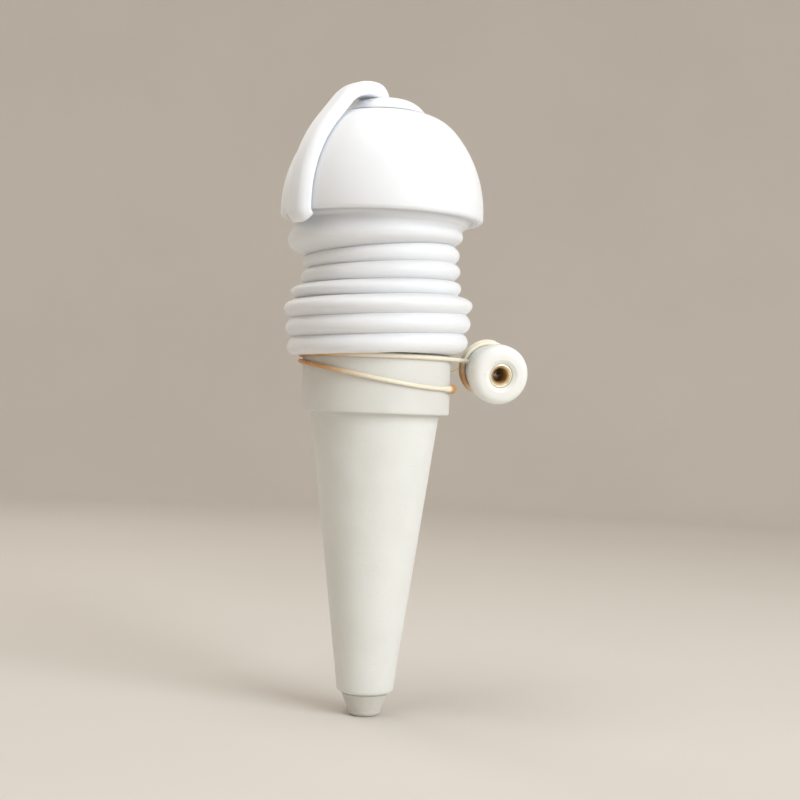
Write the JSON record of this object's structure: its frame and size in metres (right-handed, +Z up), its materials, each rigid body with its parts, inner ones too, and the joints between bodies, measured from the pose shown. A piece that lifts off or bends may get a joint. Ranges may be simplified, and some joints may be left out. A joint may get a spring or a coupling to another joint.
{
  "type": "self watering spike",
  "caption": "Plant watering spike: porous cone with a collar, squeezable bellows reservoir, domed cap with a tethered filler plug, and a brass-bushed bead held by a rubber band.",
  "frame": {"origin": "on the spike's axis, at the underside of the collar, which rests on the soil", "axes": "+Z up along the spike towards the cap, -Y towards the viewer of the picture, +X to the right, where the bead is"},
  "size_m": [0.0705, 0.0566, 0.1751],
  "materials": {
    "porous_ceramic": "matte, fine grained",
    "bead_ceramic": "satin",
    "collar_plastic": "matte",
    "cap_plastic": "glossy",
    "soft_white": "soft, semi-gloss",
    "sealing_rubber": "matte",
    "amber_rubber": "satin, slightly see-through",
    "brass": "turned, bright"
  },
  "bodies": {
    "spike": {"spike_cone": "porous_ceramic", "spike_tip": "porous_ceramic", "collar": "collar_plastic", "cone_gasket": "sealing_rubber", "retaining_band": "amber_rubber"},
    "reservoir": {"bellows": "soft_white"},
    "cap": {"cap_ring": "cap_plastic", "cap_seal": "sealing_rubber", "dome_cap": "cap_plastic", "tether_strap": "soft_white"},
    "plug": {"filler_plug": "soft_white"},
    "bead": {"bead": "bead_ceramic", "brass_bush": "brass"}
  },
  "joints": [
    {"name": "reservoir_pull", "type": "slide", "parent": "spike", "child": "reservoir", "axis": [0, 0, 1], "range_m": [0, 0.025]},
    {"name": "bellows_squeeze", "type": "slide", "parent": "reservoir", "child": "cap", "axis": [0, 0, 1], "range_m": [-0.016, 0], "stiffness_N_per_m": 400, "deforming": ["bellows"]},
    {"name": "filler_plug_pull", "type": "slide", "parent": "cap", "child": "plug", "axis": [0, 0, 1], "range_m": [0, 0.012], "deforming": ["tether_strap"]},
    {"name": "bead_slide", "type": "slide", "parent": "spike", "child": "bead", "axis": [0.2714, -0.9467, -0.1736], "range_m": [0, 0.022]}
  ]
}
